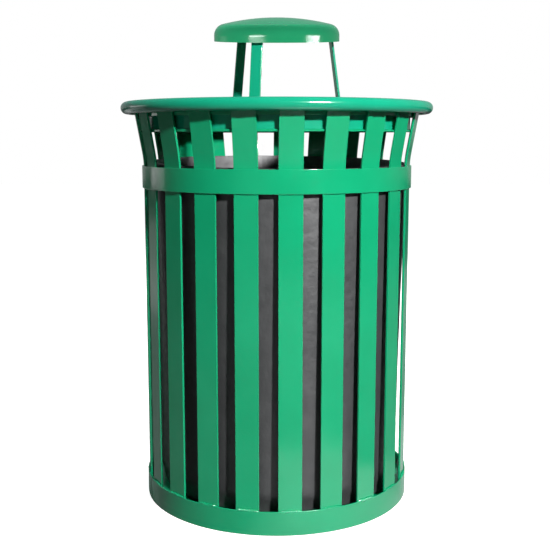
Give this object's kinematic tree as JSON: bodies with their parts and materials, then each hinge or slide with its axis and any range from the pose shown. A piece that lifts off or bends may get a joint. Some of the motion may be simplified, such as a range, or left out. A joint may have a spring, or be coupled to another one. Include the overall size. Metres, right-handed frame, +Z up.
{
  "type": "litter bin",
  "caption": "Round slatted steel litter bin with flared top bars, a rigid plastic liner and a lift-off lid under a domed rain cap.",
  "frame": {"origin": "on the ground, at the bin's vertical axis", "axes": "+Z up along the bin's axis, -Y towards the front"},
  "size_m": [0.711, 0.7109, 1.108],
  "materials": {
    "green_coat": "glossy powder coat",
    "liner_plastic": "satin moulded",
    "fastener_zinc": "zinc plated",
    "foot_rubber": "matt"
  },
  "bodies": {
    "can_body": {"base_ring": "green_coat", "mid_band": "green_coat", "lid_shelf": "green_coat", "top_ring": "green_coat", "floor_plate": "green_coat", "foot_nuts": "fastener_zinc", "slat_01": "green_coat", "slat_02": "green_coat", "slat_03": "green_coat", "slat_04": "green_coat", "slat_05": "green_coat", "slat_06": "green_coat", "slat_07": "green_coat", "slat_08": "green_coat", "slat_09": "green_coat", "slat_10": "green_coat", "slat_11": "green_coat", "slat_12": "green_coat", "slat_13": "green_coat", "slat_14": "green_coat", "slat_15": "green_coat", "slat_16": "green_coat", "slat_17": "green_coat", "slat_18": "green_coat", "slat_19": "green_coat", "slat_20": "green_coat", "slat_21": "green_coat"},
    "liner": {"liner": "liner_plastic"},
    "lid": {"lid_shell": "green_coat", "lid_skirt": "green_coat", "lid_collar": "green_coat", "rain_cap": "green_coat", "cap_leg_1": "green_coat", "cap_leg_2": "green_coat", "cap_leg_3": "green_coat", "leg_bolts": "fastener_zinc", "leg_nuts": "fastener_zinc", "cap_studs": "fastener_zinc", "cap_nuts": "fastener_zinc"},
    "foot_1": {"foot_stud_1": "fastener_zinc", "foot_pad_1": "foot_rubber"},
    "foot_2": {"foot_stud_2": "fastener_zinc", "foot_pad_2": "foot_rubber"},
    "foot_3": {"foot_stud_3": "fastener_zinc", "foot_pad_3": "foot_rubber"},
    "foot_4": {"foot_stud_4": "fastener_zinc", "foot_pad_4": "foot_rubber"}
  },
  "joints": [
    {"name": "liner_lift", "type": "slide", "parent": "can_body", "child": "liner", "axis": [0, 0, 1], "range_m": [0, 0.9]},
    {"name": "lid_lift", "type": "slide", "parent": "liner", "child": "lid", "axis": [0, 0, 1], "range_m": [0, 0.35]},
    {"name": "foot_1_screw", "type": "slide", "parent": "can_body", "child": "foot_1", "axis": [0, 0, -1], "range_m": [0, 0.008]},
    {"name": "foot_2_screw", "type": "slide", "parent": "can_body", "child": "foot_2", "axis": [0, 0, -1], "range_m": [0, 0.008]},
    {"name": "foot_3_screw", "type": "slide", "parent": "can_body", "child": "foot_3", "axis": [0, 0, -1], "range_m": [0, 0.008]},
    {"name": "foot_4_screw", "type": "slide", "parent": "can_body", "child": "foot_4", "axis": [0, 0, -1], "range_m": [0, 0.008]}
  ]
}
